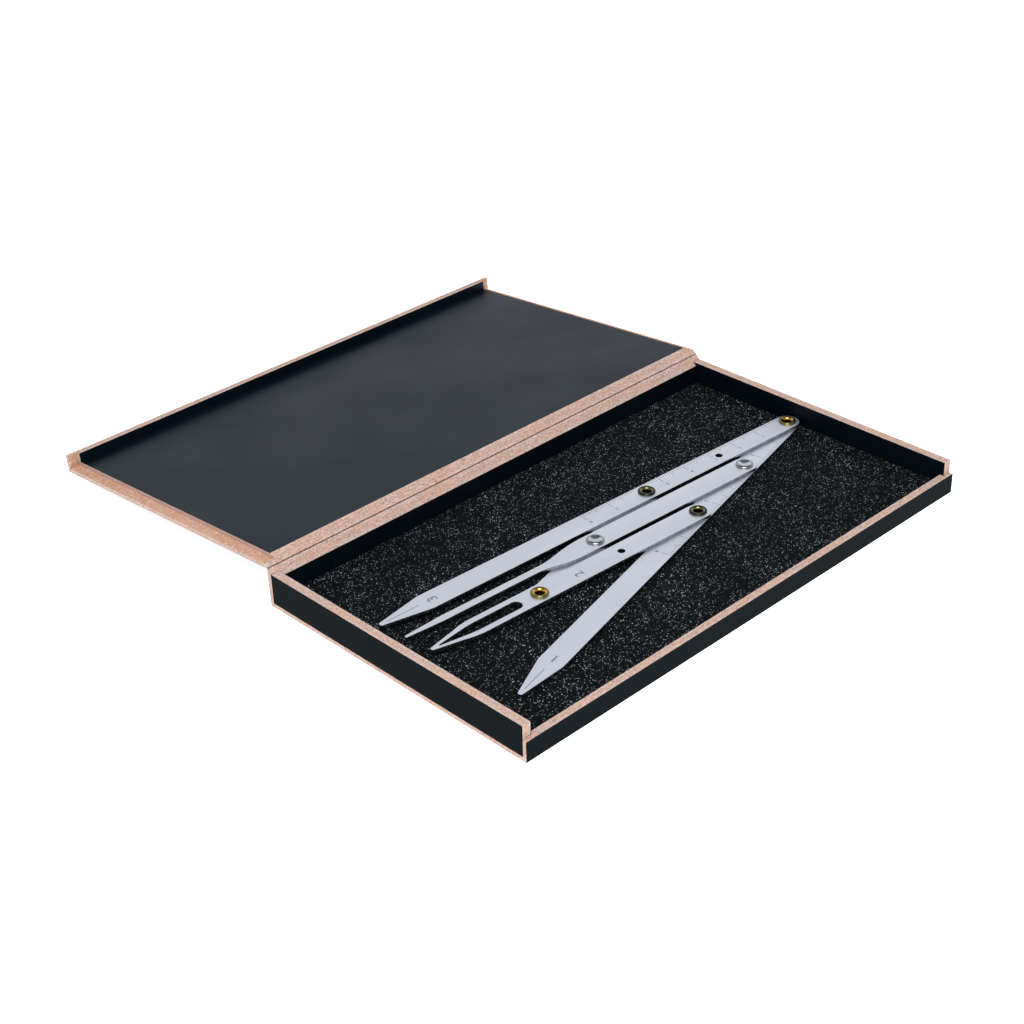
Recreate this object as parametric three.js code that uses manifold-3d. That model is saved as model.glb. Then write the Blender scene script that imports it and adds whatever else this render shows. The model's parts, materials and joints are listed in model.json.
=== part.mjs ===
// Golden-ratio divider in a hinged presentation box.
//
// The box is one laminated fibreboard sheet, V-grooved and folded round a low tray, with its lid
// folded back flat. The divider lies in it on a sheet of black foam: five flat steel bars on six
// pivots. Millimetres, +X along the long side, +Y towards the hinge, +Z up. The origin is the
// middle of the tray's underside.

import * as THREE from 'three';
import { mergeVertices } from 'three/addons/utils/BufferGeometryUtils.js';
import Module from 'manifold-3d';

const wasm = await Module();
wasm.setup();

// ---------- driving dimensions ----------

const BOX_LENGTH = 171;
const BOX_DEPTH = 97;
const BOX_HEIGHT = 11.7;
const FRONT_HEIGHT = 6.1;
const BOARD = 2.5;             // laminated board, both skins included
const SKIN = 0.15;             // black laminate on each face of a board
const END_BOARD = 2.8;         // the end walls are cut from a slightly thicker board
const LEAF = 1.15;             // board left behind an end wall where the rabbet is cut
const FOAM_THICKNESS = 1.45;
const LID_TILT = 4.93;         // degrees the open lid hangs below level

const ARM_REACH = 155.5;       // main pivot to tip
const BAR_WIDTH = 7.2;
const BAR_THICKNESS = 0.8;
const PIVOT_X = 78.1;          // main pivot, from the box's centre
const PIVOT_Y = 5.7;
const UPPER_ARM_HEADING = 177.15;   // degrees from +X
const LOWER_ARM_HEADING = 194.38;

const GLUE_LINE = 0.05;        // between pieces that are glued face to face
const RUNNING_GAP = 0.3;       // between pieces that move past each other

// ---------- worked-out dimensions ----------

const GOLDEN = (1 + Math.sqrt(5)) / 2;
const LINK_SPAN = ARM_REACH / GOLDEN ** 2;   // side of the rhombus of pivots
const HALF_SPAN = LINK_SPAN / 2;
const HALF_LENGTH = BOX_LENGTH / 2;
const HALF_DEPTH = BOX_DEPTH / 2;
const HALF_WIDTH = BAR_WIDTH / 2;
const FOAM_TOP = BOARD + GLUE_LINE + FOAM_THICKNESS;

const FLANGE_HEIGHT = 0.3;     // clinched end under a pivot
const LAYER_GAP = 0.1;         // between the two layers of bars
const LOWER_LAYER = FOAM_TOP + FLANGE_HEIGHT + 2 * GLUE_LINE;
const UPPER_LAYER = LOWER_LAYER + BAR_THICKNESS + LAYER_GAP;
const STACK = 2 * BAR_THICKNESS + LAYER_GAP;

const SHANK_RADIUS = 1.75;
const BORE_RADIUS = 1.4;
const HEAD_RADIUS = 2.55;
const HEAD_HEIGHT = 0.55;
const PIVOT_HOLE_RADIUS = SHANK_RADIUS + RUNNING_GAP;
const SPARE_HOLE_RADIUS = 1.1;

// ---------- materials ----------

function material(color, roughness, metalness = 0) {
  return new THREE.MeshStandardMaterial({ color, roughness, metalness });
}

const fibreboard = material(0xc9a184, 0.85);
const blackLaminate = material(0x15181b, 0.45);
const blackFoam = material(0x17191a, 0.95);
const brushedSteel = material(0xc8ccd6, 0.32, 1);
const brightBrass = material(0xc79a45, 0.25, 1);
const darkBrass = material(0x5d5540, 0.35, 1);
const polishedSteel = material(0xb9bec4, 0.18, 1);

// ---------- helpers ----------

function solidOf(geometry) {
  const bare = geometry.clone();
  bare.deleteAttribute('normal');
  bare.deleteAttribute('uv');
  const welded = mergeVertices(bare, 1e-5);
  return new wasm.Manifold(new wasm.Mesh({
    numProp: 3,
    vertProperties: Float32Array.from(welded.attributes.position.array),
    triVerts: Uint32Array.from(welded.index.array),
  }));
}

function geometryOf(solid) {
  const { vertProperties, triVerts } = solid.getMesh();
  const geometry = new THREE.BufferGeometry();
  geometry.setAttribute('position', new THREE.BufferAttribute(vertProperties, 3));
  geometry.setIndex(new THREE.BufferAttribute(triVerts, 1));
  geometry.computeVertexNormals();
  return geometry;
}

function named(name, geometry, look) {
  const mesh = new THREE.Mesh(geometry, look);
  mesh.name = name;
  return mesh;
}

// A closed outline in the Y-Z plane, given as [y, z] corners, run along X about the middle.
function alongX(corners, length) {
  const outline = new THREE.Shape(corners.map(([y, z]) => new THREE.Vector2(y, z)));
  const geometry = new THREE.ExtrudeGeometry(outline, { depth: length, bevelEnabled: false });
  geometry.translate(0, 0, -length / 2);
  const turn = new THREE.Matrix4().makeBasis(
    new THREE.Vector3(0, 1, 0),
    new THREE.Vector3(0, 0, 1),
    new THREE.Vector3(1, 0, 0),
  );
  return geometry.applyMatrix4(turn);
}

function box(x0, x1, y0, y1, z0, z1) {
  const geometry = new THREE.BoxGeometry(x1 - x0, y1 - y0, z1 - z0);
  return geometry.translate((x0 + x1) / 2, (y0 + y1) / 2, (z0 + z1) / 2);
}

// A flat plate lying in X-Y from a shape with holes.
function flatPlate(shape) {
  return new THREE.ExtrudeGeometry(shape, {
    depth: BAR_THICKNESS,
    bevelEnabled: false,
    curveSegments: 16,
  });
}

// A turned piece about Z from [radius, height] points.
function turned(points) {
  const segments = 32;
  const profile = points.map(([radius, height]) => new THREE.Vector2(radius, height));
  return new THREE.LatheGeometry(profile, segments).rotateX(Math.PI / 2);
}

// ---------- folded box ----------
// Every wall is a board with the black laminate on its outer face and, between the end rabbets,
// on its inner face. Walls meet at 45 degree mitres along the V-grooves.

const HINGE_EASE = RUNNING_GAP / 2;   // each bevel stands this far back from the hinge line
const CORE_FROM = SKIN + GLUE_LINE;
const CORE_TO = BOARD - SKIN - GLUE_LINE;
const LIP_HEIGHT = BOX_HEIGHT - FRONT_HEIGHT - RUNNING_GAP;
const INNER_LENGTH = BOX_LENGTH - 2 * END_BOARD;

// place() turns a distance along a wall and a depth below its outer face into [y, z].
const trayWalls = [
  {
    name: 'base',
    place: (along, depth) => [along - HALF_DEPTH, depth],
    start: 0,
    end: BOX_DEPTH,
    endMitred: true,
  },
  {
    name: 'front',
    place: (along, depth) => [depth - HALF_DEPTH, along],
    start: 0,
    end: FRONT_HEIGHT,
    endMitred: false,
  },
  {
    name: 'back',
    place: (along, depth) => [HALF_DEPTH - depth, along],
    start: 0,
    end: BOX_HEIGHT - HINGE_EASE,
    endMitred: true,
  },
];

// The lid's walls are drawn shut, measured from the hinge line at the top of the back wall.
const lidWalls = [
  {
    name: 'lid',
    place: (along, depth) => [-along, -depth],
    start: HINGE_EASE,
    end: BOX_DEPTH,
    endMitred: true,
  },
  {
    name: 'lip',
    place: (along, depth) => [depth - BOX_DEPTH, -along],
    start: 0,
    end: LIP_HEIGHT,
    endMitred: false,
  },
];

// The slice of a wall between two depths. A mitred end recedes as much as the depth.
function wallSlice(wall, from, to, length) {
  const begin = (depth) => wall.start + depth + GLUE_LINE;
  const finish = (depth) => wall.end - (wall.endMitred ? depth + GLUE_LINE : 0);
  const corners = [
    wall.place(begin(from), from),
    wall.place(finish(from), from),
    wall.place(finish(to), to),
    wall.place(begin(to), to),
  ];
  return alongX(corners, length);
}

// Cuts the rabbets that take the end walls out of both ends, from the inside down to the leaf.
function cutEndRabbets(geometry, ease, yRange, zRange) {
  let solid = solidOf(geometry);
  const shoulder = HALF_LENGTH - END_BOARD - ease;
  for (const [x0, x1] of [[-BOX_LENGTH, -shoulder], [shoulder, BOX_LENGTH]]) {
    solid = solid.subtract(solidOf(box(x0, x1, ...yRange, ...zRange)));
  }
  return geometryOf(solid);
}

function wallPieces(wall, ease, yRange, zRange) {
  const board = wallSlice(wall, CORE_FROM, CORE_TO, BOX_LENGTH);
  const linerLength = INNER_LENGTH - 2 * (ease + GLUE_LINE);
  return [
    named(`${wall.name}_board`, cutEndRabbets(board, ease, yRange, zRange), fibreboard),
    named(`${wall.name}_outer_skin`, wallSlice(wall, 0, SKIN, BOX_LENGTH), blackLaminate),
    named(`${wall.name}_liner`, wallSlice(wall, BOARD - SKIN, BOARD, linerLength), blackLaminate),
  ];
}

// An end wall stands in the rabbets: a raw-edged board faced on both sides.
function endWall(label, side) {
  const y = HALF_DEPTH - LEAF - RUNNING_GAP;
  const z0 = LEAF + GLUE_LINE;
  const z1 = BOX_HEIGHT - LEAF - RUNNING_GAP;
  const layer = (name, from, to, look) => {
    const faces = [side * (HALF_LENGTH - from), side * (HALF_LENGTH - to)];
    const plate = box(Math.min(...faces), Math.max(...faces), -y, y, z0, z1);
    return named(`${label}_end_${name}`, plate, look);
  };
  return [
    layer('outer_skin', 0, SKIN, blackLaminate),
    layer('board', CORE_FROM, END_BOARD - SKIN - GLUE_LINE, fibreboard),
    layer('liner', END_BOARD - SKIN, END_BOARD, blackLaminate),
  ];
}

function foamPad() {
  const x = HALF_LENGTH - END_BOARD - RUNNING_GAP;
  const y = HALF_DEPTH - BOARD - RUNNING_GAP;
  return named('foam_pad', box(-x, x, -y, y, BOARD + GLUE_LINE, FOAM_TOP), blackFoam);
}

function tray() {
  const inside = HALF_DEPTH - LEAF;
  const yRange = [-inside, inside];
  const zRange = [LEAF, 2 * BOX_HEIGHT];
  const group = new THREE.Group();
  group.add(
    ...trayWalls.flatMap((wall) => wallPieces(wall, GLUE_LINE, yRange, zRange)),
    ...endWall('left', -1),
    ...endWall('right', 1),
    foamPad(),
  );
  return group;
}

function lid() {
  const yRange = [LEAF - BOX_DEPTH, BOX_DEPTH];
  const zRange = [-2 * BOX_HEIGHT, -LEAF];
  const group = new THREE.Group();
  group.add(...lidWalls.flatMap((wall) => wallPieces(wall, RUNNING_GAP, yRange, zRange)));
  group.position.set(0, HALF_DEPTH, BOX_HEIGHT);
  group.rotation.x = -THREE.MathUtils.degToRad(180 + LID_TILT);
  return group;
}

// ---------- divider bars ----------
// Each bar is drawn along +X from its first pivot, with its tip at the far end.

function drill(shape, x, radius) {
  const hole = new THREE.Path();
  hole.absarc(x, 0, radius, 0, 2 * Math.PI, true);
  shape.holes.push(hole);
}

// Starts an outline with the round end about the first pivot, and leaves it on the -Y edge.
function roundEnd() {
  const shape = new THREE.Shape();
  shape.absarc(0, 0, HALF_WIDTH, Math.PI / 2, 1.5 * Math.PI, false);
  return shape;
}

// Rounds the point: an arc that turns through twice the given half angle and ends at the reach.
function bluntTip(shape, reach, radius, halfAngle) {
  const angle = THREE.MathUtils.degToRad(halfAngle);
  shape.absarc(reach - radius, 0, radius, -angle, angle, false);
}

// A long arm: parallel edges, then a straight taper to a blunt point.
function longArm(holes) {
  const taper = 15;
  const shape = roundEnd();
  shape.lineTo(ARM_REACH - taper, -HALF_WIDTH);
  bluntTip(shape, ARM_REACH, 0.75, 79);
  shape.lineTo(ARM_REACH - taper, HALF_WIDTH);
  holes.forEach(([x, radius]) => drill(shape, x, radius));
  return flatPlate(shape);
}

// The single prong: as wide as the other bars past its second pivot, then waisted to a needle.
function singleProng() {
  const reach = ARM_REACH - HALF_SPAN;
  const halfProng = 1.15;
  const nose = reach - 12;
  const waistStart = LINK_SPAN + 2;
  const waistEnd = LINK_SPAN + 20;
  const innerStart = waistStart + 5;     // the inner edge is waisted a little further on
  const innerEnd = waistEnd + 2.5;
  const swell = 8;                       // how far each end of the waist keeps its direction
  const settle = 6;
  const shape = roundEnd();
  shape.lineTo(waistStart, -HALF_WIDTH);
  shape.bezierCurveTo(
    waistStart + swell, -HALF_WIDTH, waistEnd - settle, -halfProng, waistEnd, -halfProng,
  );
  shape.lineTo(nose, -halfProng);
  bluntTip(shape, reach, 0.5, 85);
  shape.lineTo(nose, halfProng);
  shape.lineTo(innerEnd, halfProng);
  shape.bezierCurveTo(
    innerEnd - settle, halfProng, innerStart + swell, HALF_WIDTH, innerStart, HALF_WIDTH,
  );
  drill(shape, 0, PIVOT_HOLE_RADIUS);
  drill(shape, LINK_SPAN, PIVOT_HOLE_RADIUS);
  return flatPlate(shape);
}

// The slotted prong: an ogive point with a long needle-eye slot.
function slottedProng() {
  const reach = ARM_REACH - LINK_SPAN;
  const ogiveStart = reach - 16;
  const ogiveEnd = reach - 9;
  const ogiveHalf = 2.5;
  const bulge = 3.6;                     // the ogive's curve turns this far past its start
  const slotHalf = 1.8;
  const slotCentre = LINK_SPAN + 8.3;    // of the slot's round end
  const slotNeck = ogiveEnd - 0.5;
  const slotNeckHalf = 1.2;
  const slotEnd = reach - 2.6;
  const slotEndHalf = 0.2;
  const slotBulge = 3;
  const shape = roundEnd();
  shape.lineTo(ogiveStart, -HALF_WIDTH);
  shape.quadraticCurveTo(ogiveStart + bulge, -HALF_WIDTH, ogiveEnd, -ogiveHalf);
  bluntTip(shape, reach, 0.65, 76);
  shape.lineTo(ogiveEnd, ogiveHalf);
  shape.quadraticCurveTo(ogiveStart + bulge, HALF_WIDTH, ogiveStart, HALF_WIDTH);
  const slot = new THREE.Path();
  slot.absarc(slotCentre, 0, slotHalf, 1.5 * Math.PI, 0.5 * Math.PI, true);
  slot.lineTo(ogiveStart, slotHalf);
  slot.quadraticCurveTo(ogiveStart + slotBulge, slotHalf, slotNeck, slotNeckHalf);
  slot.lineTo(slotEnd, slotEndHalf);
  slot.lineTo(slotEnd, -slotEndHalf);
  slot.lineTo(slotNeck, -slotNeckHalf);
  slot.quadraticCurveTo(ogiveStart + slotBulge, -slotHalf, ogiveStart, -slotHalf);
  shape.holes.push(slot);
  drill(shape, 0, PIVOT_HOLE_RADIUS);
  drill(shape, HALF_SPAN, SPARE_HOLE_RADIUS);
  drill(shape, LINK_SPAN, PIVOT_HOLE_RADIUS);
  return flatPlate(shape);
}

function linkBar() {
  const shape = roundEnd();
  shape.absarc(LINK_SPAN, 0, HALF_WIDTH, 1.5 * Math.PI, 0.5 * Math.PI, false);
  [0, HALF_SPAN, LINK_SPAN].forEach((x) => drill(shape, x, PIVOT_HOLE_RADIUS));
  return flatPlate(shape);
}

// ---------- pivots ----------
// A pivot stands with z = 0 at the underside of the lower bar.

const CLINCH_TOP = -GLUE_LINE;
const CLINCH_BOTTOM = CLINCH_TOP - FLANGE_HEIGHT;
const HEAD_BASE = STACK + GLUE_LINE;

// A hollow eyelet with a rolled head and a clinched foot.
function eyelet() {
  const footBevel = 0.2;
  const rim = 0.12;              // straight edge under the roll
  const rollCentre = (HEAD_RADIUS + BORE_RADIUS) / 2;
  const rollHalf = (HEAD_RADIUS - BORE_RADIUS) / 2;
  const rollHeight = HEAD_HEIGHT - rim;
  const roll = [];
  const steps = 6;
  for (let i = 0; i <= steps; i += 1) {
    const angle = (i / steps) * Math.PI;
    roll.push([
      rollCentre + rollHalf * Math.cos(angle),
      HEAD_BASE + rim + rollHeight * Math.sin(angle),
    ]);
  }
  const profile = [
    [BORE_RADIUS, CLINCH_BOTTOM],
    [HEAD_RADIUS - footBevel, CLINCH_BOTTOM],
    [HEAD_RADIUS, CLINCH_TOP],
    [SHANK_RADIUS, CLINCH_TOP],
    [SHANK_RADIUS, HEAD_BASE],
    [HEAD_RADIUS, HEAD_BASE],
    ...roll,
    [BORE_RADIUS, CLINCH_BOTTOM],
  ];
  return turned(profile);
}

// A solid rivet: a low head with a crowned rim and a shallow dish in the middle.
function rivet() {
  const footRadius = HEAD_RADIUS - 0.2;
  const footBevel = 0.3;
  const crownRadius = 1.8;
  const dishRadius = 0.95;
  const dishDepth = 0.25;
  const headTop = HEAD_BASE + HEAD_HEIGHT;
  const profile = [
    [0, CLINCH_BOTTOM],
    [footRadius - footBevel, CLINCH_BOTTOM],
    [footRadius, CLINCH_TOP],
    [SHANK_RADIUS, CLINCH_TOP],
    [SHANK_RADIUS, HEAD_BASE],
    [HEAD_RADIUS, HEAD_BASE],
    [HEAD_RADIUS, HEAD_BASE + 0.3 * HEAD_HEIGHT],
    [HEAD_RADIUS - 0.25, HEAD_BASE + 0.75 * HEAD_HEIGHT],
    [crownRadius, headTop],
    [crownRadius - 0.35, headTop - 0.1 * HEAD_HEIGHT],
    [dishRadius, headTop - 0.8 * dishDepth],
    [0, headTop - dishDepth],
  ];
  return turned(profile);
}

// ---------- divider ----------

// A point at a distance along a heading, from another point.
function step([x, y], heading, distance) {
  const angle = THREE.MathUtils.degToRad(heading);
  return [x + distance * Math.cos(angle), y + distance * Math.sin(angle)];
}

const mainPivot = [PIVOT_X, PIVOT_Y];
const upperLinkPivot = step(mainPivot, UPPER_ARM_HEADING, LINK_SPAN);
const singleProngPivot = step(mainPivot, LOWER_ARM_HEADING, HALF_SPAN);
const slottedProngPivot = step(mainPivot, LOWER_ARM_HEADING, LINK_SPAN);
const middleLinkPivot = step(upperLinkPivot, LOWER_ARM_HEADING, HALF_SPAN);
const endLinkPivot = step(upperLinkPivot, LOWER_ARM_HEADING, LINK_SPAN);

function placed(mesh, [x, y], z, heading = 0) {
  mesh.position.set(x, y, z);
  mesh.rotation.z = THREE.MathUtils.degToRad(heading);
  return mesh;
}

function divider() {
  const pivotHole = (x) => [x, PIVOT_HOLE_RADIUS];
  const upperHoles = [pivotHole(0), [HALF_SPAN, SPARE_HOLE_RADIUS], pivotHole(LINK_SPAN)];
  const lowerHoles = [pivotHole(0), pivotHole(HALF_SPAN), pivotHole(LINK_SPAN)];
  const bar = (name, geometry, at, z, heading) => (
    placed(named(name, geometry, brushedSteel), at, z, heading)
  );
  const pin = (name, geometry, look, at) => placed(named(name, geometry, look), at, LOWER_LAYER);
  const group = new THREE.Group();
  group.add(
    bar('upper_arm', longArm(upperHoles), mainPivot, UPPER_LAYER, UPPER_ARM_HEADING),
    bar('lower_arm', longArm(lowerHoles), mainPivot, LOWER_LAYER, LOWER_ARM_HEADING),
    bar('single_prong', singleProng(), singleProngPivot, UPPER_LAYER, UPPER_ARM_HEADING),
    bar('slotted_prong', slottedProng(), slottedProngPivot, UPPER_LAYER, UPPER_ARM_HEADING),
    bar('link_bar', linkBar(), upperLinkPivot, LOWER_LAYER, LOWER_ARM_HEADING),
    pin('main_eyelet', eyelet(), brightBrass, mainPivot),
    pin('upper_link_eyelet', eyelet(), darkBrass, upperLinkPivot),
    pin('single_prong_rivet', rivet(), polishedSteel, singleProngPivot),
    pin('slotted_prong_eyelet', eyelet(), darkBrass, slottedProngPivot),
    pin('middle_link_rivet', rivet(), polishedSteel, middleLinkPivot),
    pin('end_link_eyelet', eyelet(), brightBrass, endLinkPivot),
  );
  return group;
}

const part = new THREE.Group();
part.add(tray(), lid(), divider());

export default part;
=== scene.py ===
# The looks of a golden-ratio divider lying in its folded fibreboard box.
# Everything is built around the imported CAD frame: metres, +X along the box, +Y to the hinge, +Z up.

import json
import math

import bmesh
import bpy
from mathutils import Matrix, Vector, noise


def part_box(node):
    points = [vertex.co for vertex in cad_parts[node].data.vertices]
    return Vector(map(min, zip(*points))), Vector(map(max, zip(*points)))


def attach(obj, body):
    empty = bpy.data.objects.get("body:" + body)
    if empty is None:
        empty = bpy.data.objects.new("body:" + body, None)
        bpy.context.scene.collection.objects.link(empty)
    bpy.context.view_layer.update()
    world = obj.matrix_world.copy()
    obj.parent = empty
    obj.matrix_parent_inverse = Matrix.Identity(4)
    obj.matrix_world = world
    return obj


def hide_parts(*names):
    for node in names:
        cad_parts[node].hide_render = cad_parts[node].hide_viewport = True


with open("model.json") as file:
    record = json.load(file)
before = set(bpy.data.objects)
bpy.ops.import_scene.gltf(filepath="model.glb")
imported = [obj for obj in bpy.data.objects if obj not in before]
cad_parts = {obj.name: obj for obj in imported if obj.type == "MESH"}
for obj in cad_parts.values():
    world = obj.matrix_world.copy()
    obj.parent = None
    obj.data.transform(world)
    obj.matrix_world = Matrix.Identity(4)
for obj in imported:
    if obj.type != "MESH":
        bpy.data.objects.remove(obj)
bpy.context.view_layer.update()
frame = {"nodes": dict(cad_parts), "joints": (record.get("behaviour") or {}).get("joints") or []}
MM = 0.001


# ---------- places and sizes, read from the frame ----------

joints = {joint["name"]: joint for joint in frame["joints"]}


def pivot(joint):
    return Vector(joints[joint]["pos_m"])


def low(node):
    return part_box(node)[0]


def high(node):
    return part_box(node)[1]


HINGE = pivot("lid_hinge")
HALF_LENGTH = high("base_board").x
HALF_DEPTH = HINGE.y
BOX_DEPTH = 2 * HALF_DEPTH
BOX_HEIGHT = HINGE.z
FRONT_HEIGHT = high("front_board").z
SKIN_SHOWN = 0.6            # laminate shows this much of the thickness that its CAD solids have
SKIN = SKIN_SHOWN * high("base_outer_skin").z
BOARD = high("base_liner").z
LEAF = low("left_end_board").z      # board left under the end walls, where the rabbets are cut
END_TOP = high("left_end_board").z
END_BOARD = HALF_LENGTH + high("left_end_liner").x
RUNNING_GAP = 0.3 * MM      # between the shut lid's lip and the front wall
LIP_HEIGHT = BOX_HEIGHT - FRONT_HEIGHT - RUNNING_GAP
HINGE_EASE = 0.04 * MM      # each bevel stands this far back from the fold
HINGE_LINE = 0.01 * MM      # the crease itself, between the two halves of the skin
BOARD_ROUND = 0.05 * MM     # the cut edges of a board


def lid_tilt():
    """How far the open lid hangs below level, from its liner's largest face."""
    face = max(frame["nodes"]["lid_liner"].data.polygons, key=lambda f: f.area)
    return math.atan(face.normal.y / face.normal.z)


# Takes the lid from the shut position, measured from the fold, to where it lies open.
LID_OPEN = Matrix.Translation(HINGE) @ Matrix.Rotation(-(math.pi + lid_tilt()), 4, "X")


# ---------- node materials ----------

def linear(red, green, blue):
    """A colour given as it looks on screen, 0 to 255, as the linear colour that shaders take."""
    def one(value):
        share = value / 255
        return share / 12.92 if share <= 0.04045 else ((share + 0.055) / 1.055) ** 2.4
    return (one(red), one(green), one(blue), 1)


class Nodes:
    """Short calls for building one material's node tree."""

    def __init__(self, name):
        self.material = bpy.data.materials.new(name)
        self.material.use_nodes = True
        self.tree = self.material.node_tree
        self.shader = self.tree.nodes["Principled BSDF"]

    def add(self, kind, values=(), **settings):
        node = self.tree.nodes.new(kind)
        for key, value in settings.items():
            setattr(node, key, value)
        for key, value in dict(values).items():
            self.feed(node.inputs[key], value)
        return node

    def feed(self, socket, value):
        if isinstance(value, bpy.types.NodeSocket):
            self.tree.links.new(value, socket)
        else:
            socket.default_value = value

    def grain(self, stretch=(1, 1, 1)):
        """The piece's own coordinates in millimetres: along, across and through it."""
        source = self.add("ShaderNodeAttribute", attribute_name="grain")
        scaled = self.add("ShaderNodeVectorMath", operation="MULTIPLY")
        self.feed(scaled.inputs[0], source.outputs["Vector"])
        scaled.inputs[1].default_value = [part / MM for part in stretch]
        return scaled.outputs["Vector"]

    def attribute(self, name):
        """A number that the mesh carries at each point."""
        return self.add("ShaderNodeAttribute", attribute_name=name).outputs["Fac"]

    def noise(self, vector, scale, detail=3.0, roughness=0.55):
        node = self.add("ShaderNodeTexNoise", {
            "Vector": vector, "Scale": scale, "Detail": detail, "Roughness": roughness,
        })
        return node.outputs["Fac"]

    def cells(self, vector, scale, feature="F1"):
        values = {"Vector": vector, "Scale": scale}
        return self.add("ShaderNodeTexVoronoi", values, feature=feature)

    def ramp(self, factor, stops):
        node = self.add("ShaderNodeValToRGB", {"Fac": factor})
        band = node.color_ramp.elements
        while len(band) < len(stops):
            band.new(0.5)
        for element, (place, colour) in zip(band, stops):
            element.position = place
            element.color = colour
        return node.outputs["Color"]

    def level(self, factor, low_in, high_in, low_out=0.0, high_out=1.0):
        """Stretches the part of a factor between two levels over a new range, and clamps it."""
        node = self.add("ShaderNodeMapRange", {
            "Value": factor, "From Min": low_in, "From Max": high_in,
            "To Min": low_out, "To Max": high_out,
        })
        return node.outputs["Result"]

    def maths(self, operation, first, second):
        node = self.add("ShaderNodeMath", operation=operation)
        self.feed(node.inputs[0], first)
        self.feed(node.inputs[1], second)
        return node.outputs["Value"]

    def mix(self, factor, first, second, blend="MIX"):
        node = self.add("ShaderNodeMix", data_type="RGBA", blend_type=blend)
        self.feed(node.inputs["Factor"], factor)
        self.feed(node.inputs["A"], first)
        self.feed(node.inputs["B"], second)
        return node.outputs["Result"]

    def bump(self, height, distance, strength=1.0, after=None):
        values = {"Height": height, "Distance": distance, "Strength": strength}
        if after is not None:
            values["Normal"] = after
        return self.add("ShaderNodeBump", values).outputs["Normal"]

    def surface(self, **sockets):
        """Feeds the shader's sockets, named with _ for a space, and gives back the material."""
        for key, value in sockets.items():
            self.feed(self.shader.inputs[key.replace("_", " ")], value)
        return self.material


def grey(value):
    return (value, value, value, 1)


def make_fibreboard(name, core, face, patch, fleck, fibre=linear(236, 218, 208)):
    """Raw cut fibreboard: pale pressed faces, a browner core, fibres lying along the sheet."""
    n = Nodes(name)
    depth = n.attribute("depth")
    from_middle = n.maths("ABSOLUTE", n.maths("SUBTRACT", n.maths("MULTIPLY", depth, 2.0), 1.0), 0.0)
    fibres = n.noise(n.grain((0.5, 0.9, 2.0)), 1.7, 5.0, 0.7)
    flecks = n.noise(n.grain((1.0, 1.2, 1.6)), 2.1, 3.0, 0.75)
    patches = n.noise(n.grain((0.1, 0.16, 0.16)), 1.0, 2.0)
    wavering = n.maths("ADD", from_middle, n.level(fibres, 0.3, 0.7, -0.22, 0.22))
    layers = n.ramp(wavering, [(0.0, core), (0.95, face)])
    body = n.mix(n.level(patches, 0.4, 0.6, 0.0, 0.8), layers, patch)
    dark = n.mix(n.level(flecks, 0.5, 0.63, 0.0, 0.8), body, fleck)
    light = n.mix(n.level(fibres, 0.52, 0.68, 0.0, 0.5), dark, fibre)
    rough = n.level(flecks, 0.3, 0.7, 0.75, 0.95)
    pores = n.bump(flecks, 0.06 * MM, 0.7)
    threads = n.bump(fibres, 0.08 * MM, 0.6, pores)
    return n.surface(Base_Color=light, Roughness=rough, Normal=threads, Specular_IOR_Level=0.25)


def make_laminate(name, face, worn, rough, gloss, tint):
    """Black paper laminate: a fine leathery emboss, faint handling marks and greyed edges."""
    n = Nodes(name)
    emboss = n.cells(n.grain(), 2.6, "SMOOTH_F1").outputs["Distance"]
    cloud = n.noise(n.grain((0.03, 0.03, 0.03)), 1.0, 4.0)
    dust = n.noise(n.grain((0.9, 0.9, 0.9)), 1.4, 6.0, 0.7)
    wear = n.attribute("wear")
    base = n.mix(n.level(cloud, 0.35, 0.65, 0.0, 0.35), face, worn)
    dusty = n.mix(n.level(dust, 0.66, 0.8, 0.0, 0.35), base, worn)
    rubbed = n.mix(n.maths("MULTIPLY", wear, n.level(dust, 0.35, 0.6, 0.2, 0.8)), dusty, worn)
    roughness = n.level(cloud, 0.3, 0.7, rough - 0.05, rough + 0.06)
    skin = n.bump(emboss, 0.012 * MM, 0.35)
    wavy = n.bump(cloud, 0.5 * MM, 0.08, skin)
    return n.surface(
        Base_Color=rubbed, Roughness=roughness, Normal=wavy, Specular_IOR_Level=gloss,
        Specular_Tint=tint,
    )


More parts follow.
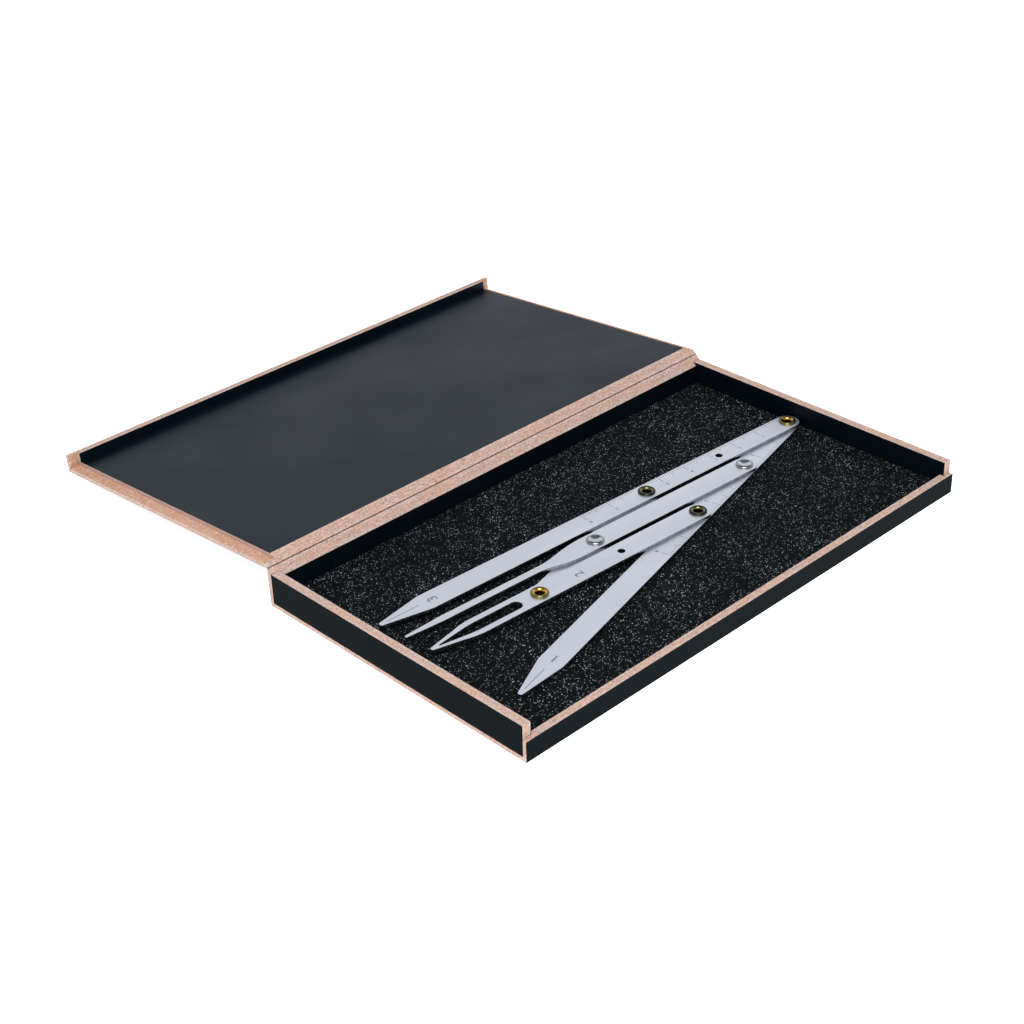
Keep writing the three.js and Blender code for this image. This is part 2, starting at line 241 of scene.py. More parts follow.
def make_foam():
    """Black open-cell foam: dark pits, their darkness painted shade, between glossy little struts
    with painted glints of light on them.
    """
    n = Nodes("black_foam")
    where = n.grain()
    cells = n.cells(where, 1.9)
    struts = n.cells(where, 3.2)
    tone = n.noise(where, 0.9, 4.0, 0.6)
    drift = n.noise(n.grain((0.05, 0.05, 0.05)), 1.0, 2.0)
    pit = n.level(cells.outputs["Distance"], 0.05, 0.55)
    # The pits are painted darker than the struts round them: painted shade in the hollows.
    base = n.ramp(pit, [(0.0, linear(1, 1, 2)), (0.55, linear(4, 5, 6)), (1.0, linear(13, 15, 18))])
    # The specks below are glints of light painted onto the struts as colour: painted highlights.
    painted_glint_cell = n.add("ShaderNodeSeparateColor", {"Color": struts.outputs["Color"]}).outputs["Red"]
    painted_glint_core = n.level(struts.outputs["Distance"], 0.46, 0.26)
    chosen = n.level(painted_glint_cell, 0.83, 0.9)
    painted_glint = n.maths("MULTIPLY", painted_glint_core, chosen)
    # Fainter painted highlights on more of the struts.
    faint = n.maths("MULTIPLY", painted_glint_core, n.level(painted_glint_cell, 0.32, 0.82, 0.0, 0.42))
    lit = n.mix(faint, base, linear(84, 92, 96))
    hue = n.mix(0.3, linear(222, 238, 244), struts.outputs["Color"], "OVERLAY")
    with_painted_glints = n.mix(painted_glint, lit, hue)
    toned = n.mix(n.level(tone, 0.35, 0.6, 0.6, 0.0), with_painted_glints, linear(3, 4, 4))
    rough = n.level(painted_glint, 0.0, 1.0, 0.8, 0.35)
    relief = n.bump(n.maths("ADD", pit, n.maths("MULTIPLY", tone, 0.6)), 0.35 * MM, 0.9)
    faded = n.mix(n.level(drift, 0.36, 0.64, 0.1, 0.55), toned, linear(6, 8, 9))
    return n.surface(Base_Color=faded, Roughness=rough, Normal=relief, Specular_IOR_Level=0.05)


def make_satin_steel():
    """Flat faces of the bars: satin-ground stainless, brushed lightly along the bar."""
    n = Nodes("satin_steel")
    brushing = n.noise(n.grain((0.12, 5.0, 5.0)), 1.0, 5.0, 0.6)
    cloud = n.noise(n.grain((0.06, 0.12, 0.12)), 1.0, 3.0)
    scratches = n.noise(n.grain((0.5, 9.0, 9.0)), 1.0, 2.0, 0.8)
    base = n.mix(n.level(cloud, 0.35, 0.65), linear(222, 224, 231), linear(227, 229, 236))
    worn = n.mix(n.level(scratches, 0.62, 0.75, 0.0, 0.25), base, linear(190, 192, 200))
    rough = n.level(brushing, 0.3, 0.7, 0.36, 0.46)
    lines = n.bump(brushing, 0.004 * MM, 0.5)
    return n.surface(
        Base_Color=worn, Metallic=1.0, Roughness=rough, Normal=lines,
        Anisotropic=0.3,
    )


def make_cut_steel():
    """Cut edges of the bars: painted darker than the faces, as a painted dark reflection, with faint
    upright marks of the cutter.
    """
    n = Nodes("cut_steel")
    ridges = n.noise(n.grain((1.6, 1.6, 0.15)), 1.0, 3.0, 0.6)
    tone = n.noise(n.grain((0.8, 0.8, 0.8)), 1.0, 2.0)
    # These greys, darker than the faces', are a painted dark reflection on the cut edges.
    base = n.mix(n.level(ridges, 0.35, 0.65), linear(138, 141, 149), linear(176, 179, 187))
    rough = n.level(tone, 0.3, 0.7, 0.2, 0.3)
    upright = n.bump(ridges, 0.006 * MM, 0.5)
    return n.surface(Base_Color=base, Metallic=1.0, Roughness=rough, Normal=upright)


def make_pivot_metal(name, rim, throat, tarnished, rough):
    """Turned and rolled metal: faint rings, tarnish, and a throat painted brighter than a darker rim,
    as a painted reflection.
    """
    n = Nodes(name)
    tarnish = n.noise(n.grain((0.8, 0.8, 0.8)), 1.0, 4.0, 0.6)
    rings = n.noise(n.grain((0.4, 8.0, 8.0)), 1.0, 2.0, 0.5)
    # The rim's darker colour and the throat's brighter one are a painted reflection.
    painted_rim_and_throat = n.mix(n.attribute("throat"), rim, throat)
    base = n.mix(n.level(tarnish, 0.5, 0.75, 0.0, 0.6), painted_rim_and_throat, tarnished)
    roughness = n.level(tarnish, 0.35, 0.7, rough, rough + 0.14)
    turned = n.bump(rings, 0.004 * MM, 0.5)
    return n.surface(Base_Color=base, Metallic=1.0, Roughness=roughness, Normal=turned)


def make_mark(name, colour):
    """The darkened floor of a laser-etched line: uneven and matt."""
    n = Nodes(name)
    burn = n.noise(n.grain((3.0, 3.0, 3.0)), 1.0, 3.0, 0.7)
    base = n.mix(n.level(burn, 0.3, 0.7), colour, linear(140, 142, 152))
    pits = n.bump(burn, 0.01 * MM, 0.5)
    return n.surface(Base_Color=base, Metallic=0.3, Roughness=0.6, Normal=pits)


fibreboard = make_fibreboard(
    "fibreboard", linear(181, 149, 134), linear(197, 175, 168), linear(191, 156, 137),
    linear(112, 82, 66),
)
# A browner, darker copy of the fibreboard for the rabbet floors: painted shade.
milled_shaded_fibreboard = make_fibreboard(
    "milled_shaded_fibreboard", linear(186, 144, 113), linear(180, 138, 110), linear(196, 157, 134),
    linear(112, 76, 52),
)
outer_laminate = make_laminate(
    "outer_laminate", linear(4, 9, 13), linear(15, 22, 26), 0.45, 0.015, (0.75, 0.9, 1.0, 1),
)
inner_laminate = make_laminate(
    "inner_laminate", linear(4, 9, 15), linear(12, 18, 27), 0.4, 0.2, (0.3, 0.64, 1.0, 1),
)
foam = make_foam()
satin_steel = make_satin_steel()
paper_backing = make_fibreboard(
    "paper_backing", linear(70, 44, 34), linear(84, 56, 44), linear(58, 36, 28),
    linear(40, 24, 18), linear(104, 72, 58),
)
cut_steel = make_cut_steel()
bright_brass = make_pivot_metal(
    "bright_brass", linear(132, 119, 74), linear(208, 164, 84), linear(74, 60, 30), 0.13,
)
dark_brass = make_pivot_metal(
    "dark_brass", linear(54, 54, 52), linear(118, 110, 70), linear(30, 28, 22), 0.16,
)
polished_steel = make_pivot_metal(
    "polished_steel", linear(150, 153, 158), linear(196, 199, 204), linear(104, 108, 114), 0.08,
)
etched = make_mark("etched_mark", linear(92, 94, 104))


# ---------- meshes ----------

def store(name, bm, materials, body, slot, replaced=(), grain=None, **attributes):
    """Makes a piece of a bmesh, with its grain coordinates and other point attributes."""
    mesh = bpy.data.meshes.new(name)
    bm.to_mesh(mesh)
    bm.free()
    for material in materials:
        mesh.materials.append(material)
    piece = bpy.data.objects.new(name, mesh)
    bpy.context.scene.collection.objects.link(piece)
    attributes.setdefault("wear", lambda point: 0.0)
    write_grain(mesh, grain)
    for key, rule in attributes.items():
        data = mesh.attributes.new(key, "FLOAT", "POINT").data
        for vertex in mesh.vertices:
            data[vertex.index].value = rule(vertex.co)
    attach(piece, body)
    if replaced:
        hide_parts(*replaced)
    return piece


def write_grain(mesh, grain):
    data = mesh.attributes.new("grain", "FLOAT_VECTOR", "POINT").data
    for vertex in mesh.vertices:
        data[vertex.index].vector = grain(vertex.co) if grain else vertex.co


def soften(bm, width, segments=2, sharpest=math.radians(25)):
    """Breaks every sharp edge with a small round."""
    edges = [edge for edge in bm.edges if edge.calc_face_angle(0.0) > sharpest]
    bmesh.ops.bevel(
        bm, geom=edges, offset=width, segments=segments, profile=0.5, affect="EDGES",
        clamp_overlap=True,
    )


def smooth(piece, sharpest=math.radians(50)):
    """Rounds every edge in the shading, apart from the sharp ones."""
    for polygon in piece.data.polygons:
        polygon.use_smooth = True
    piece.data.set_sharp_from_angle(angle=sharpest)


def shade(piece, sharpest=math.radians(35)):
    """Smooth rounds next to flat faces that stay flat."""
    smooth(piece, sharpest)
    weighted = piece.modifiers.new("even_faces", "WEIGHTED_NORMAL")
    weighted.mode = "FACE_AREA"
    weighted.weight = 100
    weighted.keep_sharp = True


# ---------- the folded box ----------

class Wall:
    """A slab between its outer face and its inner face, drawn in the Y-Z plane.

    It runs from start to end along its outer face, and gets shorter by its own depth at start and,
    if mitred, at end. Lid walls are drawn shut, from the fold, and placed where they rest.
    """

    def __init__(self, name, origin, along, inward, start, end, mitred, placed, body):
        self.name = name
        self.origin = Vector((0, *origin))
        self.along = Vector((0, *along))
        self.inward = Vector((0, *inward))
        self.start = start
        self.end = end
        self.mitred = mitred
        self.placed = placed
        self.body = body
        self.shoulder = high("lid_liner").x if body == "lid" else HALF_LENGTH - END_BOARD

    def corner(self, x, at_end, depth):
        """The point at one edge of the wall, at this depth below its outer face."""
        if at_end:
            travel = self.end - (depth if self.mitred else 0)
        else:
            travel = self.start + depth
        return self.origin + Vector((x, 0, 0)) + self.along * travel + self.inward * depth

    def grain(self, point):
        offset = point - self.origin
        return Vector((point.x, offset.dot(self.along), offset.dot(self.inward)))

    def depth(self, point):
        """How deep a point lies, as a share of the board's thickness."""
        return (point - self.origin).dot(self.inward) / BOARD


STAY = Matrix.Identity(4)
WALLS = [
    Wall("base", (-HALF_DEPTH, 0), (1, 0), (0, 1), 0, BOX_DEPTH, True, STAY, "tray"),
    Wall("front", (-HALF_DEPTH, 0), (0, 1), (1, 0), 0, FRONT_HEIGHT, False, STAY, "tray"),
    Wall("back", (HALF_DEPTH, 0), (0, 1), (-1, 0), 0, BOX_HEIGHT - HINGE_EASE, True, STAY, "tray"),
    Wall("lid", (0, 0), (-1, 0), (0, -1), HINGE_EASE, BOX_DEPTH, True, LID_OPEN, "lid"),
    Wall("lip", (-BOX_DEPTH, 0), (0, -1), (1, 0), 0, LIP_HEIGHT, False, LID_OPEN, "lid"),
]


def rest_place(wall, rule):
    """A rule about a wall's own coordinates, for a point already moved to where the wall rests."""
    back = wall.placed.inverted()
    return lambda point: rule(back @ point)


def board_core(wall):
    """The fibreboard of a wall, with a rabbet at each end that leaves only its outer leaf."""
    stations = [-HALF_LENGTH, -wall.shoulder, wall.shoulder, HALF_LENGTH]
    inside = BOARD - SKIN
    bm = bmesh.new()
    rows = []
    for x in stations:
        outer = [bm.verts.new(wall.corner(x, end, SKIN)) for end in (False, True)]
        leaf = [bm.verts.new(wall.corner(x, end, LEAF)) for end in (False, True)]
        rows.append((outer, leaf))
    inner = [[bm.verts.new(wall.corner(x, end, inside)) for end in (False, True)]
             for x in stations[1:3]]
    for (outer_a, leaf_a), (outer_b, leaf_b) in zip(rows, rows[1:]):
        bm.faces.new((outer_a[0], outer_a[1], outer_b[1], outer_b[0]))
        for end in (0, 1):
            bm.faces.new((outer_a[end], leaf_a[end], leaf_b[end], outer_b[end]))
    for first, second in ((0, 1), (2, 3)):
        a, b = rows[first][1], rows[second][1]
        bm.faces.new((a[0], a[1], b[1], b[0]))
    bm.faces.new((inner[0][0], inner[0][1], inner[1][1], inner[1][0]))
    for end in (0, 1):
        bm.faces.new((rows[1][1][end], inner[0][end], inner[1][end], rows[2][1][end]))
    for leaf, inside_row in ((rows[1][1], inner[0]), (rows[2][1], inner[1])):
        bm.faces.new((leaf[0], leaf[1], inside_row[1], inside_row[0]))
    for outer, leaf in (rows[0], rows[3]):
        bm.faces.new((outer[0], outer[1], leaf[1], leaf[0]))
    bmesh.ops.recalc_face_normals(bm, faces=bm.faces)
    return bm


def make_board(wall):
    """A wall's fibreboard, with a browner copy of it on the floors where the rabbets were milled into
    its soft core: painted shade.
    """
    bm = board_core(wall)
    soften(bm, BOARD_ROUND)
    for face in bm.faces:
        middle = wall.depth(face.calc_center_median()) * BOARD
        milled = abs(middle - LEAF) < 0.01 * MM and face.normal.dot(wall.inward) > 0.9
        # The rabbet floors take the copy with painted shade.
        face.material_index = 1 if milled else 0
    bmesh.ops.transform(bm, matrix=wall.placed, verts=bm.verts)
    piece = store(
        f"{wall.name}_core", bm, [fibreboard, milled_shaded_fibreboard], wall.body, "fibreboard",
        [f"{wall.name}_board"], rest_place(wall, wall.grain), depth=rest_place(wall, wall.depth),
    )
    shade(piece)
    return piece


def slab(bm, corners):
    """A six-sided block from its four low corners and the four above them."""
    low_row = [bm.verts.new(point) for point in corners[:4]]
    high_row = [bm.verts.new(point) for point in corners[4:]]
    faces = [bm.faces.new(low_row), bm.faces.new(high_row)]
    for i in range(4):
        j = (i + 1) % 4
        faces.append(bm.faces.new((low_row[i], low_row[j], high_row[j], high_row[i])))
    bmesh.ops.recalc_face_normals(bm, faces=faces)


def make_liner(wall):
    """The laminate on a wall's inner face, between the end walls."""
    reach = wall.shoulder
    bm = bmesh.new()
    corners = []
    for depth in (BOARD - SKIN, BOARD):
        for x, end in ((-reach, False), (reach, False), (reach, True), (-reach, True)):
            corners.append(wall.corner(x, end, depth))
    slab(bm, corners)
    soften(bm, 0.03 * MM)
    bmesh.ops.transform(bm, matrix=wall.placed, verts=bm.verts)
    piece = store(
        f"{wall.name}_lining", bm, [inner_laminate], wall.body, "black_laminate",
        [f"{wall.name}_liner"], rest_place(wall, wall.grain),
    )
    shade(piece)
    return piece


def fold_section(corners, radius, hinged):
    """The outline of a thin skin that follows the corners with rounded folds, as Y-Z points.

    hinged is the index of the corner on the hinge line, where the skin ends in a mitre.
    """
    outer = []
    inner = []
    for i, corner in enumerate(corners):
        if i in (0, len(corners) - 1):
            neighbour = corners[1] if i == 0 else corners[-2]
            along = (neighbour - corner).normalized()
            side = 1 if i == 0 else -1
            inward = Vector((-along.y, along.x)) * side
            gap = HINGE_LINE if i == hinged else 0
            mitre = SKIN if i == hinged else 0
            outer.append(corner + along * gap)
            inner.append(corner + inward * SKIN + along * (gap + mitre))
            continue
        before = (corners[i - 1] - corner).normalized()
        after = (corners[i + 1] - corner).normalized()
        centre = corner + (before + after) * radius
        steps = 6
        for step in range(steps + 1):
            turn = step / steps * math.pi / 2
            spoke = -after * math.cos(turn) - before * math.sin(turn)
            outer.append(centre + spoke * radius)
            inner.append(centre + spoke * (radius - SKIN))
    return outer, inner


FOLD_RADIUS = 0.16 * MM


def make_wrap(name, corners, hinged, placed, body, replaced):
    """The outer skin: one sheet of laminate folded round the boards, on its paper backing."""
    radius = FOLD_RADIUS
    outer, inner = fold_section([Vector(corner) for corner in corners], radius, hinged)
    outline = outer + inner[::-1]
    bm = bmesh.new()
    ends = [[bm.verts.new((x, point.x, point.y)) for point in outline]
            for x in (-HALF_LENGTH, HALF_LENGTH)]
    count = len(outline)
    half = len(outer)
    for i in range(count):
        j = (i + 1) % count
        face = bm.faces.new((ends[0][i], ends[0][j], ends[1][j], ends[1][i]))
        face.material_index = 0 if i < half - 1 else 1
    for row in ends:
        for i in range(half - 1):
            bm.faces.new((row[i], row[i + 1], row[count - 2 - i], row[count - 1 - i]))
    bmesh.ops.recalc_face_normals(bm, faces=bm.faces)
    bmesh.ops.transform(bm, matrix=placed, verts=bm.verts)
    folds = [placed @ Vector((0, *corner)) for corner in corners]

    def wear(point):
        at_end = abs(point.x) > HALF_LENGTH - 0.01 * MM
        nearest = min((Vector((0, point.y, point.z)) - fold).length for fold in folds)
        return 1.0 if at_end or nearest < radius else 0.0

    piece = store(
        name, bm, [outer_laminate, paper_backing], body, "black_laminate", replaced, wear=wear,
    )
    shade(piece)
    return piece


SKIN_ROUND = 0.03 * MM


def make_end_wall(side, label):
    """An end wall: a raw-edged board with laminate on both faces, standing in the rabbets."""
    half = HALF_DEPTH - LEAF
    face = side * HALF_LENGTH

    def layer(name, from_face, to_face, material, slot, replaced, width):
        bm = bmesh.new()
        corners = []
        for inward in (from_face, to_face):
            x = face - side * inward
            for y, z in ((-half, LEAF), (half, LEAF), (half, END_TOP), (-half, END_TOP)):
                corners.append(Vector((x, y, z)))
        slab(bm, corners)
        soften(bm, width)
        piece = store(
            name, bm, [material], "tray", slot, [replaced],
            lambda p: Vector((p.y, p.z, side * (face - p.x))),
            depth=lambda p: abs(face - p.x) / END_BOARD,
        )
        shade(piece)

    layer(f"{label}_end_core", SKIN, END_BOARD - SKIN, fibreboard, "fibreboard",
          f"{label}_end_board", BOARD_ROUND)
    layer(f"{label}_end_facing", 0, SKIN, outer_laminate, "black_laminate",
          f"{label}_end_outer_skin", SKIN_ROUND)
    layer(f"{label}_end_lining", END_BOARD - SKIN, END_BOARD, inner_laminate, "black_laminate",
          f"{label}_end_liner", SKIN_ROUND)


def make_box():
    for wall in WALLS:
        make_board(wall)
        make_liner(wall)
    make_wrap(
        "tray_wrap",
        [(-HALF_DEPTH, FRONT_HEIGHT), (-HALF_DEPTH, 0), (HALF_DEPTH, 0), (HALF_DEPTH, BOX_HEIGHT)],
        3, STAY, "tray", ["base_outer_skin", "front_outer_skin", "back_outer_skin"],
    )
    make_wrap(
        "lid_wrap",
        [(0, 0), (-BOX_DEPTH, 0), (-BOX_DEPTH, -LIP_HEIGHT)],
        0, LID_OPEN, "lid", ["lid_outer_skin", "lip_outer_skin"],
    )
    make_end_wall(-1, "left")
    make_end_wall(1, "right")


# ---------- foam ----------

def make_foam_pad():
    """A sheet of coarse open-cell foam, cut to fit, its top face pitted with broken cells."""
    first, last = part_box("foam_pad")
    pitch = 0.45 * MM
    across = [round((last[i] - first[i]) / pitch) for i in (0, 1)]
    cell = 1.15 * MM
    cell_reach = 0.55           # of the cell size: how far a pit spreads from its middle
    pit = 0.42 * MM
    crumb = 0.6 * MM
    crumb_height = 0.1 * MM
    cut_edge = 1.2 * MM         # the cut edge of the sheet is pulled down over this width
    pull_down = 0.25 * MM
    bm = bmesh.new()
    rows = []
    for j in range(across[1] + 1):
        row = []
        for i in range(across[0] + 1):
            x = first.x + (last.x - first.x) * i / across[0]
            y = first.y + (last.y - first.y) * j / across[1]
            edge = min(x - first.x, last.x - x, y - first.y, last.y - y)
            spacing = noise.voronoi(Vector((x, y, 0)) / cell)[0]
            crumbs = noise.noise(Vector((x, y, 0)) / crumb)
            hollow = max(0.0, cell_reach - spacing[0]) / cell_reach
            sag = pull_down * max(0.0, 1 - edge / cut_edge) ** 2
            z = last.z - pit * hollow - crumb_height * (1 + crumbs) / 2 - sag
            row.append(bm.verts.new((x, y, z)))
        rows.append(row)
    for lower, upper in zip(rows, rows[1:]):
        for i in range(across[0]):
            bm.faces.new((lower[i], lower[i + 1], upper[i + 1], upper[i]))
    right_side = [row[-1] for row in rows[1:-1]]
    left_side = [row[0] for row in rows[1:-1]]
    rim = rows[0] + right_side + rows[-1][::-1] + left_side[::-1]
    foot = [bm.verts.new((vertex.co.x, vertex.co.y, first.z)) for vertex in rim]
    for i in range(len(rim)):
        bm.faces.new((rim[i - 1], rim[i], foot[i], foot[i - 1]))
    bm.faces.new(foot)
    bmesh.ops.recalc_face_normals(bm, faces=bm.faces)
    piece = store("foam_sheet", bm, [foam], "tray", "black_foam", ["foam_pad"])
    smooth(piece, math.radians(70))


# ---------- divider bars ----------

class Bar:
    """A bar's own coordinates: distance from its first pivot, then distance to the left of it."""

    def __init__(self, start, towards, node):
        self.start = Vector((start.x, start.y, 0))
        heading = towards - start
        self.along = Vector((heading.x, heading.y, 0)).normalized()
        self.left = Vector((-self.along.y, self.along.x, 0))
        self.top = high(node).z
        self.node = node

    def place(self, distance, left, height=0.0):
        spot = self.start + self.along * distance + self.left * left
        return Vector((spot.x, spot.y, self.top + height))

    def grain(self, point):
        offset = point - self.start
        return Vector((offset.dot(self.along), offset.dot(self.left), point.z - self.top))


main = pivot("main_pivot")
upper_link = pivot("link_pivot")
prong_pivot = pivot("single_prong_pivot")
slotted_pivot = pivot("slotted_prong_pivot")
upper_way = upper_link - main
lower_way = prong_pivot - main
BARS = {
    "upper_arm": Bar(main, main + upper_way, "upper_arm"),
    "lower_arm": Bar(main, main + lower_way, "lower_arm"),
    "single_prong": Bar(prong_pivot, prong_pivot + upper_way, "single_prong"),
    "slotted_prong": Bar(slotted_pivot, slotted_pivot + upper_way, "slotted_prong"),
    "link_bar": Bar(upper_link, upper_link + lower_way, "link_bar"),
}


BAR_ROUND = 0.07 * MM


def make_bar(node, bar):
    """A bar with its cut edges broken by a fine round, satin faces and cut sides."""
    bm = bmesh.new()
    bm.from_mesh(frame["nodes"][node].data)
    bmesh.ops.remove_doubles(bm, verts=bm.verts, dist=1e-6)
    bmesh.ops.dissolve_limit(bm, angle_limit=math.radians(1), verts=bm.verts, edges=bm.edges)
    soften(bm, BAR_ROUND, 3, math.radians(60))
    for face in bm.faces:
        face.material_index = 0 if abs(face.normal.z) > 0.99 else 1
    piece = store(
        f"{node}_steel", bm, [satin_steel, cut_steel], node, "satin_steel", [node], bar.grain,
    )
    shade(piece, math.radians(40))


MARK_SINK = 0.02 * MM         # an etched mark starts this far under the bar's face
MARK_PROUD = 0.012 * MM       # and stands this far over it
RULE_ZERO = 2.0 * MM          # the rule's zero, from the pivot
RULE_CENTIMETRES = 8
ARM_HALF_WIDTH = 3.6 * MM
LINE_WIDTH = 0.2 * MM         # the centre lines at the arms' tips
TICK_WIDTH = 0.15 * MM
TICK_INSET = 0.1 * MM         # the ticks start this far in from the arm's edge
CENTIMETRE_TICK = 3.0 * MM
HALF_TICK = 1.9 * MM
MILLIMETRE_TICK = 1.1 * MM
CROWDED_TICK = 1.0 * MM       # a centimetre tick that a pivot leaves no room for
RULE_NUMERAL = 1.7 * MM
RULE_NUMERAL_OFFSET = 1.1 * MM


def add_stroke(bm, bar, start, end, width):
    """An etched line between two (distance, left) places on a bar, as a thin raised ribbon."""
    a = Vector(start)
    b = Vector(end)
    side = (b - a).normalized().orthogonal() * width / 2
    corners = []
    for height in (-MARK_SINK, MARK_PROUD):
        for point in (a - side, b - side, b + side, a + side):
            corners.append(bar.place(point.x, point.y, height))
    slab(bm, corners)


def add_numeral(bm, bar, text, size, centre, up):
    """A numeral on a bar. up is the way its top points, as a (distance, left) direction."""
    curve = bpy.data.curves.new("numeral", "FONT")
    curve.body = text
    curve.size = size
    curve.align_x = "CENTER"
    curve.align_y = "CENTER"
    curve.extrude = (MARK_SINK + MARK_PROUD) / 2
    curve.offset = 0.012 * size         # makes the strokes a little bolder
    carrier = bpy.data.objects.new("numeral", curve)
    bpy.context.scene.collection.objects.link(carrier)
    bpy.context.view_layer.update()
    shaped = carrier.evaluated_get(bpy.context.evaluated_depsgraph_get())
    mesh = bpy.data.meshes.new_from_object(shaped)
    middle = bar.place(*centre, (MARK_PROUD - MARK_SINK) / 2)
    top = (bar.along * up[0] + bar.left * up[1]).normalized()
    right = top.cross(Vector((0, 0, 1)))
    turn = Matrix((right, top, (0, 0, 1))).transposed().to_4x4()
    mesh.transform(Matrix.Translation(middle) @ turn)
    bm.from_mesh(mesh)
    bpy.data.objects.remove(carrier)
    bpy.data.curves.remove(curve)
    bpy.data.meshes.remove(mesh)


def add_rule(bm, bar, edge, pivots):
    """A millimetre rule on one edge of an arm. edge is -1 or 1: the side that the ticks stand on."""
    rim = edge * (ARM_HALF_WIDTH - TICK_INSET)

    def crowded(distance, room):
        return any(abs(distance - pivot_at) < room for pivot_at in pivots)

    for tick in range(RULE_CENTIMETRES * 10 + 1):
        length = {0: CENTIMETRE_TICK, 5: HALF_TICK}.get(tick % 10, MILLIMETRE_TICK)
        distance = RULE_ZERO + tick * MM
        if tick % 10 == 0 and crowded(distance, 3.2 * MM):
            length = CROWDED_TICK
        add_stroke(bm, bar, (distance, rim), (distance, rim - edge * length), TICK_WIDTH)
    for number in range(1, RULE_CENTIMETRES + 1):
        distance = RULE_ZERO + number * 10 * MM
        if not crowded(distance, 3.6 * MM):
            centre = (distance, -edge * RULE_NUMERAL_OFFSET)
            add_numeral(bm, bar, str(number), RULE_NUMERAL, centre, (0, edge))


def make_marks():
    """The arms' rules, numerals and centre lines, and the slotted prong's numeral."""
    span = upper_way.length
    towards_tip = (1, 0)
    layouts = {
        "upper_arm": ("3", 138.0 * MM, (142.5 * MM, 153.4 * MM), -1, (span,)),
        "lower_arm": ("1", 138.4 * MM, (143.5 * MM, 153.0 * MM), 1, (span / 2, span)),
    }
    for node, (numeral, place, line, edge, pivots) in layouts.items():
        bar = BARS[node]
        bm = bmesh.new()
        add_rule(bm, bar, edge, pivots)
        add_numeral(bm, bar, numeral, 4.2 * MM, (place, 0), towards_tip)
        add_stroke(bm, bar, (line[0], 0), (line[1], 0), LINE_WIDTH)
        store(f"{node}_marks", bm, [etched], node, "satin_steel", grain=bar.grain)
    slotted = BARS["slotted_prong"]
    bm = bmesh.new()
    add_numeral(bm, slotted, "2", 3.9 * MM, (45.5 * MM, 0.4 * MM), towards_tip)
    store("slotted_prong_marks", bm, [etched], "slotted_prong", "satin_steel", grain=slotted.grain)


# ---------- pivots ----------

SHANK_RADIUS = 1.75 * MM
BORE_RADIUS = 1.25 * MM
HEAD_HEIGHT = 0.55 * MM
FOOT_HEIGHT = 0.3 * MM
FOOT_INSET = 0.25 * MM        # the clinched foot is this much smaller than the head


def lathe(name, node, profile, material, body, slot, closed):
    """Turns a profile of (radius, height) points about a pivot's axis.

    closed joins the profile's last point to its first. A point of radius 0 closes an end.
    """
    first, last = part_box(node)
    centre = (first + last) / 2
    steps = 72
    bm = bmesh.new()
    rings = []
    for radius, height in profile:
        if radius == 0:
            rings.append([bm.verts.new((centre.x, centre.y, height))])
            continue
        ring = []
        for step in range(steps):
            angle = 2 * math.pi * step / steps
            ring.append(bm.verts.new((
                centre.x + radius * math.cos(angle), centre.y + radius * math.sin(angle), height,
            )))
        rings.append(ring)
    pairs = list(zip(rings, rings[1:]))
    if closed:
        pairs.append((rings[-1], rings[0]))
    for a, b in pairs:
        for i in range(steps):
            j = (i + 1) % steps
            if len(a) == 1:
                bm.faces.new((a[0], b[j], b[i]))
            elif len(b) == 1:
                bm.faces.new((a[i], a[j], b[0]))
            else:
                bm.faces.new((a[i], a[j], b[j], b[i]))
    bmesh.ops.recalc_face_normals(bm, faces=bm.faces)

    def grain(point):
        offset = point - centre
        around = math.atan2(offset.y, offset.x) * (last.x - first.x) / 2
        return Vector((around, math.hypot(offset.x, offset.y), offset.z))

    crest = 0.75 * (last.x - first.x) / 2

    def throat(point):
        """1 inside the rolled rim, where the brighter colour of the painted reflection goes."""
        return 1.0 if math.hypot(point.x - centre.x, point.y - centre.y) < crest else 0.0

    piece = store(name, bm, [material], body, slot, [node], grain, throat=throat)
    smooth(piece)


def arc(centre, radii, start, end, steps):
    """Points along part of an ellipse in (radius, height), angles in degrees."""
    points = []
    for step in range(steps + 1):
        angle = math.radians(start + (end - start) * step / steps)
        points.append((
            centre[0] + radii[0] * math.cos(angle), centre[1] + radii[1] * math.sin(angle),
        ))
    return points


def make_eyelet(node, material, body, slot):
    """A hollow eyelet: rolled head with a funnel throat, plain barrel, clinched foot."""
    first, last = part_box(node)
    head = (last.x - first.x) / 2
    roll = 0.38 * MM
    funnel = 0.7 * MM
    head_base = last.z - HEAD_HEIGHT
    foot_top = first.z + FOOT_HEIGHT
    foot_roll = FOOT_HEIGHT / 2
    crest = head - roll
    profile = [(BORE_RADIUS, first.z), (head - FOOT_INSET, first.z)]
    profile += arc((head - foot_roll, first.z + foot_roll), (foot_roll, foot_roll), -90, 90, 8)
    profile += [(SHANK_RADIUS, foot_top), (SHANK_RADIUS, head_base), (head - 0.1 * MM, head_base)]
    profile += arc((crest, last.z - roll), (roll, roll), -35, 90, 12)
    profile += arc((crest, last.z - funnel), (crest - BORE_RADIUS, funnel), 96, 180, 14)
    lathe(f"{node}_metal", node, profile, material, body, slot, True)


